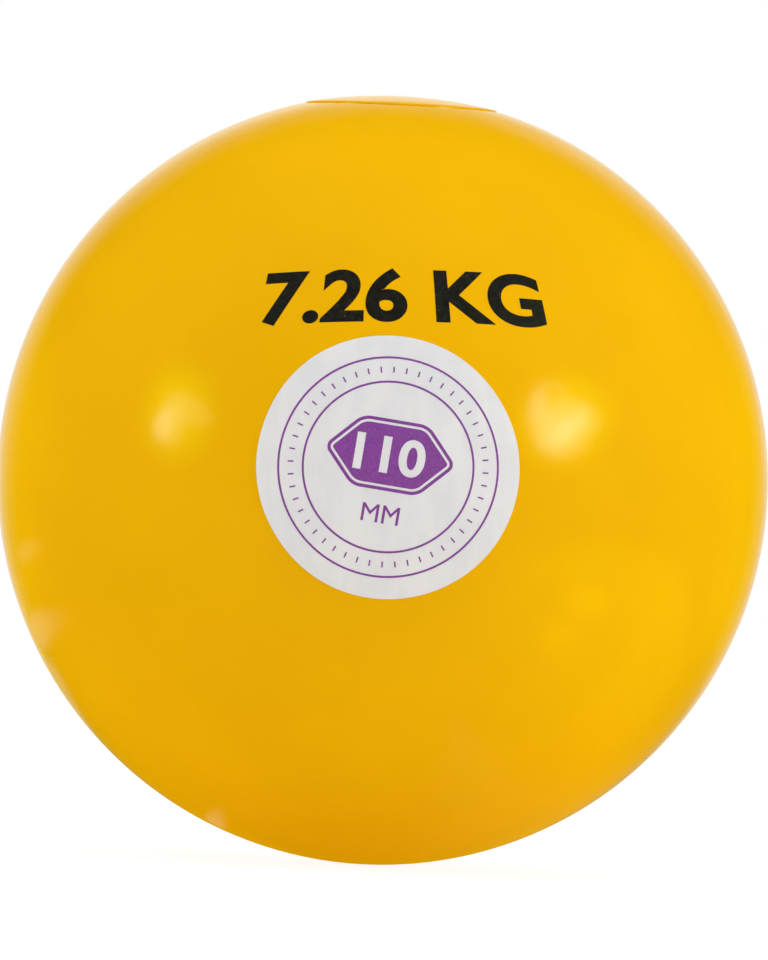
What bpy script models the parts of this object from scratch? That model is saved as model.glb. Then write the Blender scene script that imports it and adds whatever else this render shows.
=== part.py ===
# A putting shot: a turned steel ball shell, filled with lead and closed at the top by a
# screwed filling plug, with a round film label on the front.
# Metres, +Z up. The origin is the ball's centre. The filling plug is at +Z and the label
# faces -Y. Run it with: blender --background --python part.py

import math

import bmesh
import bpy
from mathutils import Vector

# Ball shell
BALL_DIAMETER = 0.110
SHELL_WALL = 0.005

# Edge break round the mouth of the plug's counterbore
MOUTH_EDGE_BREAK = 0.0006

# Filling plug: a thin head in a counterbore, on a threaded shank. Its rim stands a little
# proud of the ball's round, and the middle of its dome lies a little below it
PLUG_FLANGE_WIDTH = 0.00275
PLUG_RIM_HEIGHT = 0.0024
PLUG_RIM_PROUD = 0.00015
PLUG_CROWN_DROP = 0.0002
PLUG_RIM_CHAMFER = 0.00015
PLUG_NOSE_CHAMFER = 0.0006
HEAD_CLEARANCE = 0.0003

# Thread, right-handed. Its depth and crest are shares of the pitch, as in the metric standard
THREAD_DIAMETER = 0.022
THREAD_PITCH = 0.0015
THREAD_DEPTH_SHARE = 0.6
THREAD_CREST_SHARE = 0.125
THREAD_CLEARANCE = 0.00012
THREAD_LENGTH = 0.0072
THREAD_RELIEF = 0.0006
THREAD_FLANK_ANGLE = math.radians(30)

# Threaded boss inside the shell, which reaches a little past the plug's nose
BOSS_WALL = 0.0052
BOSS_OVERHANG = 0.0008
BORE_CHAMFER = 0.0006

# Two blind holes in the plug's head for a pin spanner
SPANNER_HOLE_DIAMETER = 0.003
SPANNER_HOLE_DEPTH = 0.0028
SPANNER_HOLE_SPACING = 0.016

# Sealing washer under the head, and the loose stack under the plug's nose
WASHER_THICKNESS = 0.001
WASHER_BORE_CLEARANCE = 0.0002
WASHER_EDGE_CLEARANCE = 0.0003
WAD_THICKNESS = 0.003
DISC_THICKNESSES = (0.002, 0.0015, 0.001)
STACK_CLEARANCE = 0.0003
EDGE_BREAK = 0.0002

# Film label, a flat disc pressed onto the ball
LABEL_DIAMETER = 0.037
LABEL_THICKNESS = 0.00015
LABEL_RISE = math.radians(1.9)
LABEL_TURN = math.radians(0.7)

# Gaps between pieces that lie on each other, and how finely round shapes are cut
SEAT_GAP = 0.0001
LEAD_GAP = 0.0002
LABEL_GAP = 0.00006
BALL_STEPS = 60
CAVITY_ARC_STEPS = 14
LABEL_ARC_STEPS = 6
CROWN_ARC_STEPS = 6
SPANNER_HOLE_STEPS = 24
SMALL_STEPS = 40
THREAD_STEPS_PER_TURN = 30
CUT_MARGIN = 0.0001
MERGE_DISTANCE = 0.000001

# Radii and heights worked out from the sizes above
ball_radius = BALL_DIAMETER / 2
cavity_radius = ball_radius - SHELL_WALL

thread_radius = THREAD_DIAMETER / 2
thread_depth = THREAD_DEPTH_SHARE * THREAD_PITCH
crest_half = THREAD_CREST_SHARE * THREAD_PITCH / 2
ridge_half = crest_half + thread_depth * math.tan(THREAD_FLANK_ANGLE)
shank_radius = thread_radius - thread_depth
bore_radius = shank_radius + THREAD_CLEARANCE
boss_radius = thread_radius + BOSS_WALL

head_radius = thread_radius + PLUG_FLANGE_WIDTH
seat_radius = head_radius + HEAD_CLEARANCE
mouth_radius = seat_radius + MOUTH_EDGE_BREAK

crown_top = ball_radius - PLUG_CROWN_DROP
rim_height = math.sqrt(ball_radius**2 - head_radius**2) + PLUG_RIM_PROUD
head_bottom = rim_height - PLUG_RIM_HEIGHT
washer_top = head_bottom - SEAT_GAP
washer_bottom = washer_top - WASHER_THICKNESS
seat_height = washer_bottom - SEAT_GAP

thread_bottom = seat_height - THREAD_RELIEF - THREAD_LENGTH
ridge_start = thread_bottom + ridge_half
nose_height = thread_bottom - PLUG_NOSE_CHAMFER
boss_bottom = nose_height - BOSS_OVERHANG

pocket_radius = bore_radius
stack_radius = pocket_radius - STACK_CLEARANCE
wad_top = nose_height - SEAT_GAP
wad_bottom = wad_top - WAD_THICKNESS


def material(name, colour, roughness, metallic):
    made = bpy.data.materials.new(name)
    made.diffuse_color = (*colour, 1.0)
    made.use_nodes = True
    shader = made.node_tree.nodes["Principled BSDF"]
    shader.inputs["Base Color"].default_value = (*colour, 1.0)
    shader.inputs["Roughness"].default_value = roughness
    shader.inputs["Metallic"].default_value = metallic
    return made


def arc(radius, first_angle, last_angle, steps):
    """(x, z) points on a circle about the origin, by angle from +Z."""
    points = []
    for step in range(steps + 1):
        angle = first_angle + (last_angle - first_angle) * step / steps
        points.append((radius * math.sin(angle), radius * math.cos(angle)))
    return points


def lines_object(name, outline, closed, collection):
    """An object that holds only the line of a section, in the XZ plane."""
    count = len(outline)
    edges = [(i, i + 1) for i in range(count - 1)]
    if closed:
        edges.append((count - 1, 0))
    mesh = bpy.data.meshes.new(name)
    mesh.from_pydata([(x, 0.0, z) for x, z in outline], edges, [])
    made = bpy.data.objects.new(name, mesh)
    collection.objects.link(made)
    return made


def turned(name, outline, steps, finish, collection, closed=False):
    """A section turned about Z. Its outer side runs from the top down."""
    made = lines_object(name, outline, closed, collection)
    made.data.materials.append(finish)
    turn = made.modifiers.new("Turn", "SCREW")
    turn.steps = steps
    turn.render_steps = steps
    turn.use_merge_vertices = True
    turn.merge_threshold = MERGE_DISTANCE
    turn.use_smooth_shade = False
    return made


def as_mesh(made):
    """The same object with its modifiers applied."""
    bpy.context.view_layer.update()
    graph = bpy.context.evaluated_depsgraph_get()
    mesh = bpy.data.meshes.new_from_object(made.evaluated_get(graph))
    made.modifiers.clear()
    made.data = mesh
    return made


def smooth_by_angle(made, degrees=30):
    made.data.shade_smooth()
    made.data.set_sharp_from_angle(angle=math.radians(degrees))


def helix_ridge(name, inner_radius, outer_radius, extra, bottom, turns, collection):
    """A closed right-hand thread ridge about Z, whose middle starts at the height bottom."""
    tip_half = crest_half + extra
    root_half = tip_half + (thread_radius - inner_radius) * math.tan(THREAD_FLANK_ANGLE)
    section = [
        (outer_radius, bottom + tip_half),
        (outer_radius, bottom - tip_half),
        (inner_radius, bottom - root_half),
        (inner_radius, bottom + root_half),
    ]
    ridge = lines_object(name, section, True, collection)
    helix = ridge.modifiers.new("Helix", "SCREW")
    helix.angle = math.tau * turns
    helix.screw_offset = THREAD_PITCH * turns
    helix.steps = round(THREAD_STEPS_PER_TURN * turns)
    helix.render_steps = helix.steps
    helix.use_smooth_shade = False
    as_mesh(ridge)
    mesh = bmesh.new()
    mesh.from_mesh(ridge.data)
    bmesh.ops.holes_fill(mesh, edges=mesh.edges)
    bmesh.ops.recalc_face_normals(mesh, faces=mesh.faces)
    mesh.to_mesh(ridge.data)
    mesh.free()
    return ridge


def as_cutter(made):
    made.hide_render = True
    made.display_type = "WIRE"
    return made


def boolean(made, tool, operation):
    change = made.modifiers.new(tool.name, "BOOLEAN")
    change.operation = operation
    change.object = tool


def make_shell(finish, parts, cutters):
    """The ball's steel shell: cavity, threaded boss, plug seat and outer sphere."""
    boss_angle = math.asin(boss_radius / cavity_radius)
    mouth_angle = math.asin(mouth_radius / ball_radius)
    mouth_height = ball_radius * math.cos(mouth_angle)
    equator = math.pi / 2
    north_steps = round(BALL_STEPS / 4 * (equator - mouth_angle) / equator)
    outline = arc(cavity_radius, math.pi, boss_angle, CAVITY_ARC_STEPS)
    outline += [
        (boss_radius, boss_bottom),
        (bore_radius, boss_bottom),
        (bore_radius, seat_height - BORE_CHAMFER - (thread_radius - bore_radius)),
        (thread_radius + BORE_CHAMFER, seat_height),
        (seat_radius, seat_height),
        (seat_radius, mouth_height - MOUTH_EDGE_BREAK),
    ]
    outline += arc(ball_radius, mouth_angle, equator, north_steps)
    outline += arc(ball_radius, equator, math.pi, BALL_STEPS // 4)[1:]
    # Both poles lie exactly on the axis
    outline[0] = (0.0, -cavity_radius)
    outline[-1] = (0.0, -ball_radius)
    shell = turned("shell", outline, BALL_STEPS, finish, parts)

    turns_below = math.ceil((ridge_start - boss_bottom) / THREAD_PITCH) + 1
    groove_start = ridge_start - turns_below * THREAD_PITCH
    turns = math.ceil((seat_height - groove_start) / THREAD_PITCH) + 1
    flank_clearance = THREAD_CLEARANCE / math.cos(THREAD_FLANK_ANGLE)
    groove = helix_ridge(
        "thread_groove",
        bore_radius - CUT_MARGIN,
        thread_radius + THREAD_CLEARANCE,
        flank_clearance,
        groove_start,
        turns,
        cutters,
    )
    boolean(shell, as_cutter(groove), "DIFFERENCE")
    smooth_by_angle(as_mesh(shell))


def make_lead_core(finish, parts):
    """The poured lead, with a recess for the boss and a pocket for the trim discs."""
    core_radius = cavity_radius - LEAD_GAP
    recess_radius = boss_radius + LEAD_GAP
    recess_floor = boss_bottom - LEAD_GAP
    recess_angle = math.asin(recess_radius / core_radius)
    stack = sum(thickness + SEAT_GAP for thickness in DISC_THICKNESSES)
    pocket_floor = wad_bottom - stack - SEAT_GAP
    outline = [
        (0.0, pocket_floor),
        (pocket_radius, pocket_floor),
        (pocket_radius, recess_floor),
        (recess_radius, recess_floor),
    ]
    outline += arc(core_radius, recess_angle, math.pi, CAVITY_ARC_STEPS)
    outline[-1] = (0.0, -core_radius)
    smooth_by_angle(as_mesh(turned("lead_core", outline, BALL_STEPS, finish, parts)))


def disc_outline(radius, top, bottom):
    return [
        (0.0, top),
        (radius - EDGE_BREAK, top),
        (radius, top - EDGE_BREAK),
        (radius, bottom + EDGE_BREAK),
        (radius - EDGE_BREAK, bottom),
        (0.0, bottom),
    ]


def make_trim_discs(finish, parts):
    """Lead discs that bring the ball to its exact mass, stacked down into the pocket."""
    top = wad_bottom - SEAT_GAP
    for number, thickness in enumerate(DISC_THICKNESSES, start=1):
        outline = disc_outline(stack_radius, top, top - thickness)
        name = f"trim_disc_{number}"
        smooth_by_angle(as_mesh(turned(name, outline, SMALL_STEPS, finish, parts)))
        top -= thickness + SEAT_GAP


def make_packing_wad(finish, parts):
    """The felt wad that the plug's nose presses on the trim discs."""
    outline = disc_outline(stack_radius, wad_top, wad_bottom)
    smooth_by_angle(as_mesh(turned("packing_wad", outline, SMALL_STEPS, finish, parts)))


def make_sealing_washer(finish, parts):
    inner = thread_radius + WASHER_BORE_CLEARANCE
    outer = head_radius - WASHER_EDGE_CLEARANCE
    outline = [
        (outer - EDGE_BREAK, washer_top),
        (outer, washer_top - EDGE_BREAK),
        (outer, washer_bottom + EDGE_BREAK),
        (outer - EDGE_BREAK, washer_bottom),
        (inner, washer_bottom),
        (inner, washer_top),
    ]
    washer = turned("sealing_washer", outline, SMALL_STEPS, finish, parts, closed=True)
    smooth_by_angle(as_mesh(washer))


def make_filling_plug(finish, parts, cutters):
    """The screwed plug: domed head with two spanner holes, threaded shank and nose."""
    sagitta = crown_top - rim_height
    crown_radius = (head_radius**2 + sagitta**2) / (2 * sagitta)
    edge_radius = head_radius - PLUG_RIM_CHAMFER
    crown_angle = math.asin(edge_radius / crown_radius)
    crown = arc(crown_radius, 0.0, crown_angle, CROWN_ARC_STEPS)
    outline = [(x, z + crown_top - crown_radius) for x, z in crown]
    outline += [
        (head_radius, outline[-1][1] - PLUG_RIM_CHAMFER),
        (head_radius, head_bottom),
        (shank_radius, head_bottom),
        (shank_radius, thread_bottom),
        (shank_radius - PLUG_NOSE_CHAMFER, nose_height),
        (0.0, nose_height),
    ]
    plug = turned("filling_plug", outline, BALL_STEPS, finish, parts)

    ridge = helix_ridge(
        "thread_ridge",
        shank_radius - CUT_MARGIN,
        thread_radius,
        0.0,
        ridge_start,
        (THREAD_LENGTH - 2 * ridge_half) / THREAD_PITCH,
        cutters,
    )
    boolean(plug, as_cutter(ridge), "UNION")

    for side in (-1, 1):
        bpy.ops.mesh.primitive_cylinder_add(
            vertices=SPANNER_HOLE_STEPS,
            radius=SPANNER_HOLE_DIAMETER / 2,
            depth=2 * SPANNER_HOLE_DEPTH,
            location=(side * SPANNER_HOLE_SPACING / 2, 0.0, hole_mouth_height(crown_radius)),
        )
        hole = as_cutter(bpy.context.object)
        hole.name = f"spanner_hole_{'left' if side < 0 else 'right'}"
        move_to(hole, cutters)
        boolean(plug, hole, "DIFFERENCE")
    smooth_by_angle(as_mesh(plug))


def hole_mouth_height(crown_radius):
    """Height of the plug's domed face over the middle of a spanner hole."""
    offset = SPANNER_HOLE_SPACING / 2
    return crown_top - crown_radius + math.sqrt(crown_radius**2 - offset**2)


def move_to(made, collection):
    for holder in list(made.users_collection):
        holder.objects.unlink(made)
    collection.objects.link(made)


def make_label(finish, parts):
    """The film label: a thin dome over the ball, turned about its own middle."""
    under = ball_radius + LABEL_GAP
    reach = LABEL_DIAMETER / BALL_DIAMETER
    outline = arc(under + LABEL_THICKNESS, 0.0, reach, LABEL_ARC_STEPS)
    outline += arc(under, reach, 0.0, LABEL_ARC_STEPS)
    label = as_mesh(turned("label", outline, SMALL_STEPS, finish, parts))
    smooth_by_angle(label)
    facing = Vector(
        (
            math.sin(LABEL_TURN) * math.cos(LABEL_RISE),
            -math.cos(LABEL_TURN) * math.cos(LABEL_RISE),
            math.sin(LABEL_RISE),
        )
    )
    label.rotation_mode = "QUATERNION"
    label.rotation_quaternion = Vector((0.0, 0.0, 1.0)).rotation_difference(facing)


def clear_scene():
    for old in list(bpy.data.objects):
        bpy.data.objects.remove(old, do_unlink=True)


def new_collection(name):
    made = bpy.data.collections.new(name)
    bpy.context.scene.collection.children.link(made)
    return made


def main():
    clear_scene()
    parts = new_collection("shot_put_ball")
    cutters = new_collection("cutters")

    enamel = material("yellow_enamel", (0.87, 0.48, 0.0), 0.28, 0.0)
    lead = material("lead", (0.30, 0.31, 0.34), 0.55, 0.9)
    felt = material("felt", (0.42, 0.38, 0.31), 0.95, 0.0)
    copper = material("copper", (0.72, 0.40, 0.27), 0.35, 1.0)
    plug_enamel = material("plug_enamel", (0.87, 0.48, 0.0), 0.28, 0.0)
    film = material("label_film", (0.80, 0.80, 0.81), 0.45, 0.0)

    make_shell(enamel, parts, cutters)
    make_lead_core(lead, parts)
    make_trim_discs(lead, parts)
    make_packing_wad(felt, parts)
    make_sealing_washer(copper, parts)
    make_filling_plug(plug_enamel, parts, cutters)
    make_label(film, parts)


main()
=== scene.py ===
# The looks of a putting shot: a turned steel ball under yellow enamel, its screwed filling
# plug at the top, and on the front a round film label and a printed weight mark.
import math

import bmesh
import bpy
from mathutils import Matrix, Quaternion, Vector


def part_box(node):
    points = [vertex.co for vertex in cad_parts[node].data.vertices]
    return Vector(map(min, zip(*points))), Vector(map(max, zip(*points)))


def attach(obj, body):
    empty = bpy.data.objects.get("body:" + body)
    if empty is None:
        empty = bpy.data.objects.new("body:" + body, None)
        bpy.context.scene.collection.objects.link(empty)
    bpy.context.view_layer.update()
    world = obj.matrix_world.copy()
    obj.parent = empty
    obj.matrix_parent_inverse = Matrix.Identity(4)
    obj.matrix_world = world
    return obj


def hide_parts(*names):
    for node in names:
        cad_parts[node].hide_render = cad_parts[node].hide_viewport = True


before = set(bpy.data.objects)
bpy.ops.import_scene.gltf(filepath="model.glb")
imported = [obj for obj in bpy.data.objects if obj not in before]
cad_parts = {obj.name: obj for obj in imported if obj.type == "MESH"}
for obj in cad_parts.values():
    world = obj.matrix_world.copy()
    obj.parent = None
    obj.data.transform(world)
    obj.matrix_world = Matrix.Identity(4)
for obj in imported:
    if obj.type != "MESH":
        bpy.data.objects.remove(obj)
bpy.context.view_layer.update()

bpy.ops.object.select_all(action="DESELECT")

# Sizes that the frame gives
plugLow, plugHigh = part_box("filling_plug")
washerLow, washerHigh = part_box("sealing_washer")
wadLow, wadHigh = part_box("packing_wad")
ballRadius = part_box("shell")[1].x
headRadius = plugHigh.x
noseHeight = plugLow.z
seatGap = 0.0001          # above and below the washer
headBottom = washerHigh.z + seatGap
seatHeight = washerLow.z - seatGap

# Small sizes that several pieces share
nearby = 0.0001           # how close a face lies to a surface to be picked with it
mergeGap = 0.000001       # points closer than this become one
sharpAngle = math.radians(30)     # edges that turn more than this stay sharp
cornerSteps = 4           # of a rounded corner of a ring or a disc
print("frame loaded, ball", round(ballRadius * 2000, 2), "mm across")


# Modelling by hand: open a piece, pick by place, spin, cut

def makeActive(piece):
    bpy.ops.object.select_all(action="DESELECT")
    piece.select_set(True)
    bpy.context.view_layer.objects.active = piece


def nameActive(name):
    piece = bpy.context.object
    piece.name = name
    piece.data.name = name
    return piece


def openEdit(piece, mode="VERT"):
    # it opens with all of it selected
    makeActive(piece)
    bpy.ops.object.mode_set(mode="EDIT")
    bpy.ops.mesh.select_mode(type=mode)
    bpy.ops.mesh.select_all(action="SELECT")


def closeEdit():
    bpy.ops.object.mode_set(mode="OBJECT")
    bpy.ops.object.select_all(action="DESELECT")


def movePiece(piece, x, y, z):
    openEdit(piece)
    bpy.ops.transform.translate(value=(x, y, z))
    closeEdit()


def facing(turn, rise):
    # away from the ball's middle, right of the front and up
    return Vector((math.sin(turn) * math.cos(rise), -math.cos(turn) * math.cos(rise), math.sin(rise)))


def arcPoints(radius, startAngle, endAngle, count, middle=(0, 0)):
    # angles are measured from +Z towards +X
    points = []
    for step in range(count + 1):
        angle = startAngle + (endAngle - startAngle) * step / count
        points.append((middle[0] + radius * math.sin(angle), middle[1] + radius * math.cos(angle)))
    return points


def drawSection(name, section):
    # a plane is merged to one point, which is pulled along the section in the XZ plane
    bpy.ops.mesh.primitive_plane_add(size=0.01)
    piece = nameActive(name)
    openEdit(piece)
    bpy.ops.mesh.merge(type="CENTER")
    bpy.ops.transform.translate(value=(section[0][0], 0, section[0][1]))
    for (fromX, fromZ), (toX, toZ) in zip(section, section[1:]):
        step = (toX - fromX, 0, toZ - fromZ)
        bpy.ops.mesh.extrude_vertices_move(TRANSFORM_OT_translate={"value": step})
    closeEdit()
    return piece


def spinSection(name, section, columns):
    piece = drawSection(name, section)
    openEdit(piece)
    bpy.ops.mesh.spin(steps=columns, angle=math.tau, center=(0, 0, 0), axis=(0, 0, 1),
                      use_auto_merge=True)
    bpy.ops.mesh.select_all(action="SELECT")
    bpy.ops.mesh.remove_doubles(threshold=mergeGap)
    bpy.ops.mesh.normals_make_consistent(inside=False)
    closeEdit()
    return piece


def cutWith(piece, cutter):
    change = piece.modifiers.new("Cut", "BOOLEAN")
    change.operation = "DIFFERENCE"
    change.solver = "EXACT"
    change.object = cutter
    makeActive(piece)
    bpy.ops.object.modifier_apply(modifier="Cut")
    bpy.data.objects.remove(cutter, do_unlink=True)


def smoothByAngle(piece):
    makeActive(piece)
    bpy.ops.object.shade_smooth_by_angle(angle=sharpAngle)
    bpy.ops.object.select_all(action="DESELECT")


def assignFinish(piece, finish, test):
    # the finish goes on the faces whose middle passes the test
    piece.data.materials.append(finish)
    openEdit(piece, "FACE")
    bpy.ops.mesh.select_all(action="DESELECT")
    mesh = bmesh.from_edit_mesh(piece.data)
    for face in mesh.faces:
        face.select_set(test(face.calc_center_median()))
    bmesh.update_edit_mesh(piece.data)
    piece.active_material_index = len(piece.data.materials) - 1
    bpy.ops.object.material_slot_assign()
    closeEdit()


# Finishes

def newNode(tree, kind, sockets=None, **settings):
    node = tree.nodes.new("ShaderNode" + kind)
    for name, value in settings.items():
        setattr(node, name, value)
    for key, value in (sockets or {}).items():
        if isinstance(value, bpy.types.NodeSocket):
            tree.links.new(value, node.inputs[key])
        else:
            node.inputs[key].default_value = value
    return node


def newFinish(name, colour, roughness, metallic=0.0):
    finish = bpy.data.materials.new(name)
    finish.use_nodes = True
    finish.diffuse_color = (*colour, 1)
    shader = finish.node_tree.nodes["Principled BSDF"]
    shader.inputs["Base Color"].default_value = (*colour, 1)
    shader.inputs["Roughness"].default_value = roughness
    shader.inputs["Metallic"].default_value = metallic
    return finish, finish.node_tree, shader


def objectPlace(tree, scale=(1, 1, 1)):
    place = newNode(tree, "TexCoord").outputs["Object"]
    return newNode(tree, "Mapping", {"Vector": place, "Scale": scale}).outputs[0]


def noiseField(tree, place, scale, detail=2.0, roughness=0.5, distortion=0.0):
    sockets = {"Vector": place, "Scale": scale, "Detail": detail, "Roughness": roughness,
               "Distortion": distortion}
    return newNode(tree, "TexNoise", sockets).outputs[0]


noiseSpan = (0.3, 0.7)    # nearly all of a noise field's values


def remap(tree, value, fromLow, fromHigh, toLow, toHigh):
    sockets = {"Value": value, "From Min": fromLow, "From Max": fromHigh, "To Min": toLow,
               "To Max": toHigh}
    return newNode(tree, "MapRange", sockets, interpolation_type="SMOOTHSTEP").outputs[0]


def blendColour(tree, factor, first, second):
    node = newNode(tree, "Mix", {0: factor}, data_type="RGBA")
    for socket, value in ((node.inputs[6], first), (node.inputs[7], second)):
        if isinstance(value, bpy.types.NodeSocket):
            tree.links.new(value, socket)
        else:
            socket.default_value = (*value, 1)
    return node.outputs[2]


def combine(tree, operation, first, second=0.0):
    return newNode(tree, "Math", {0: first, 1: second}, operation=operation).outputs[0]


def combineVectors(tree, operation, first, second=(0, 0, 0)):
    node = newNode(tree, "VectorMath", {0: first, 1: second}, operation=operation)
    return node.outputs["Value" if operation in ("LENGTH", "DOT_PRODUCT") else "Vector"]


def mixValues(tree, share, first, second):
    return newNode(tree, "Mix", {0: share, 2: first, 3: second}, data_type="FLOAT").outputs[0]


def bump(tree, height, distance, below=None):
    sockets = {"Height": height, "Distance": distance, "Strength": 1.0}
    if below is not None:
        sockets["Normal"] = below
    return newNode(tree, "Bump", sockets).outputs[0]


def shaded(colour, factor):
    return tuple(channel * factor for channel in colour)


enamelLook = {
    "colour": (0.98, 0.512, 0.0),
    "roughness": 0.5,
    "coatRoughness": 0.09,
    "rimGlow": 0.35,           # the paint stays bright where it turns away
    "rimGlowRoughness": 0.3,
    "rimGlowTint": (1.0, 0.72, 0.0),
    "coatIor": 1.5,
    "mottle": 0.03,
    "mottleScale": 42,
    "dust": 0.35,              # a little dust and lint under the gloss
    "dustShade": 0.62,
    "dustScale": 2600,
    "hazeScale": 120,          # where the paint is rougher and smoother
    "haze": (-0.03, 0.05),
    "peelScale": 900,          # orange peel, about a millimetre from hump to hump
    "peelHeight": 0.0000012,
    "waveScale": 70,           # slow unevenness of the turned ball under the paint
    "waveHeight": 0.000012,
}


def makeEnamel(name):
    look = enamelLook
    finish, tree, shader = newFinish(name, look["colour"], look["roughness"])
    place = objectPlace(tree)
    cloud = noiseField(tree, place, look["mottleScale"], 4, 0.55)
    tone = remap(tree, cloud, 0.32, 0.68, 0, 1)
    darker = shaded(look["colour"], 1 - look["mottle"])
    lighter = shaded(look["colour"], 1 + look["mottle"] / 2)
    colour = blendColour(tree, tone, darker, lighter)
    specks = noiseField(tree, place, look["dustScale"], 2, 0.6)
    dust = remap(tree, specks, 0.735, 0.78, 0, look["dust"])
    colour = blendColour(tree, dust, colour, shaded(look["colour"], look["dustShade"]))
    tree.links.new(colour, shader.inputs["Base Color"])
    haze = noiseField(tree, place, look["hazeScale"], 3, 0.6)
    smooth, rough = (look["roughness"] + change for change in look["haze"])
    tree.links.new(remap(tree, haze, *noiseSpan, smooth, rough), shader.inputs["Roughness"])
    wave = bump(tree, noiseField(tree, place, look["waveScale"], 1, 0.4), look["waveHeight"])
    peel = bump(tree, noiseField(tree, place, look["peelScale"], 2, 0.5), look["peelHeight"], wave)
    tree.links.new(peel, shader.inputs["Normal"])
    tree.links.new(peel, shader.inputs["Coat Normal"])
    shader.inputs["Coat Weight"].default_value = 1.0
    shader.inputs["Coat Roughness"].default_value = look["coatRoughness"]
    shader.inputs["Coat IOR"].default_value = look["coatIor"]
    shader.inputs["Specular IOR Level"].default_value = 0.0
    shader.inputs["Sheen Weight"].default_value = look["rimGlow"]
    shader.inputs["Sheen Roughness"].default_value = look["rimGlowRoughness"]
    shader.inputs["Sheen Tint"].default_value = (*look["rimGlowTint"], 1)
    return finish


def makeSteel():
    # turned mild steel, dulled by a film of old oil, with tool marks round the axis
    base = (0.50, 0.49, 0.47)
    finish, tree, shader = newFinish("turned_steel", base, 0.34, 0.6)
    stain = remap(tree, noiseField(tree, objectPlace(tree), 150, 4, 0.6), 0.35, 0.7, 0, 1)
    colour = blendColour(tree, stain, base, (0.33, 0.31, 0.28))
    tree.links.new(colour, shader.inputs["Base Color"])
    rings = noiseField(tree, objectPlace(tree, (1, 1, 60)), 160, 2, 0.6)
    tree.links.new(remap(tree, rings, *noiseSpan, 0.26, 0.46), shader.inputs["Roughness"])
    tree.links.new(bump(tree, rings, 0.000004), shader.inputs["Normal"])
    return finish


def makeCopper():
    # annealed copper, darkened in patches
    base = (0.80, 0.42, 0.28)
    finish, tree, shader = newFinish("annealed_copper", base, 0.36, 1.0)
    place = objectPlace(tree)
    patch = remap(tree, noiseField(tree, place, 260, 4, 0.6), 0.4, 0.66, 0, 1)
    tree.links.new(blendColour(tree, patch, base, (0.48, 0.20, 0.13)), shader.inputs["Base Color"])
    scuff = noiseField(tree, place, 1500, 3, 0.6)
    tree.links.new(remap(tree, scuff, *noiseSpan, 0.28, 0.5), shader.inputs["Roughness"])
    tree.links.new(bump(tree, scuff, 0.000005), shader.inputs["Normal"])
    return finish


def makeLead():
    # cast lead, dulled by oxide and dimpled where it froze
    base = (0.33, 0.34, 0.37)
    finish, tree, shader = newFinish("cast_lead", base, 0.5, 1.0)
    place = objectPlace(tree)
    oxide = remap(tree, noiseField(tree, place, 180, 5, 0.65), 0.38, 0.66, 0, 1)
    tree.links.new(blendColour(tree, oxide, base, (0.19, 0.195, 0.21)), shader.inputs["Base Color"])
    tree.links.new(remap(tree, oxide, 0, 1, 0.42, 0.68), shader.inputs["Roughness"])
    skin = noiseField(tree, place, 420, 4, 0.6)
    tree.links.new(bump(tree, skin, 0.00006), shader.inputs["Normal"])
    return finish


def makeFelt():
    # pressed wool felt with loose fibres
    base = (0.40, 0.36, 0.29)
    finish, tree, shader = newFinish("wool_felt", base, 0.95)
    place = objectPlace(tree)
    fibre = noiseField(tree, place, 1900, 5, 0.7, 1.5)
    tone = remap(tree, fibre, *noiseSpan, 0, 1)
    tree.links.new(blendColour(tree, tone, (0.27, 0.24, 0.19), (0.52, 0.47, 0.39)),
                   shader.inputs["Base Color"])
    tree.links.new(bump(tree, fibre, 0.00025), shader.inputs["Normal"])
    shader.inputs["Sheen Weight"].default_value = 0.4
    return finish


def makeFilm():
    # white satin film, streaked a little where it was pressed down
    base = (0.86, 0.86, 0.87)
    finish, tree, shader = newFinish("satin_film", base, 0.42)
    streaks = noiseField(tree, objectPlace(tree, (1, 1, 0.18)), 420, 4, 0.6)
    blotch = noiseField(tree, objectPlace(tree), 130, 3, 0.5)
    tone = remap(tree, combine(tree, "ADD", streaks, blotch), 0.75, 1.25, 0, 1)
    tree.links.new(blendColour(tree, tone, (0.825, 0.832, 0.86), (0.88, 0.885, 0.90)),
                   shader.inputs["Base Color"])
    tree.links.new(remap(tree, streaks, *noiseSpan, 0.36, 0.5), shader.inputs["Roughness"])
    tree.links.new(bump(tree, streaks, 0.000004), shader.inputs["Normal"])
    return finish


def makePurpleInk():
    base = (0.255, 0.052, 0.350)
    finish, tree, shader = newFinish("purple_ink", base, 0.48)
    grain = noiseField(tree, objectPlace(tree), 5200, 2, 0.7)
    tone = remap(tree, grain, *noiseSpan, 0, 1)
    tree.links.new(blendColour(tree, tone, shaded(base, 0.8), shaded(base, 1.28)),
                   shader.inputs["Base Color"])
    tree.links.new(remap(tree, grain, *noiseSpan, 0.42, 0.56), shader.inputs["Roughness"])
    return finish


def makeBlackInk():
    # pad print, with pinholes that the paint shows through
    base = (0.0105, 0.0092, 0.0075)
    finish, tree, shader = newFinish("black_ink", base, 0.5)
    place = objectPlace(tree)
    where = remap(tree, noiseField(tree, place, 130, 2, 0.5), 0.52, 0.64, 0, 1)
    holes = remap(tree, noiseField(tree, place, 4600, 2, 0.7), 0.64, 0.70, 0, 1)
    worn = combine(tree, "MULTIPLY", where, holes)
    thin = noiseField(tree, place, 1400, 3, 0.6)
    ink = blendColour(tree, remap(tree, thin, 0.35, 0.7, 0, 1), base, shaded(base, 1.9))
    colour = blendColour(tree, combine(tree, "MULTIPLY", worn, 0.6), ink, (0.42, 0.24, 0.05))
    tree.links.new(colour, shader.inputs["Base Color"])
    tree.links.new(remap(tree, thin, *noiseSpan, 0.42, 0.58), shader.inputs["Roughness"])
    tree.links.new(bump(tree, thin, 0.000003), shader.inputs["Normal"])
    return finish


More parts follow.
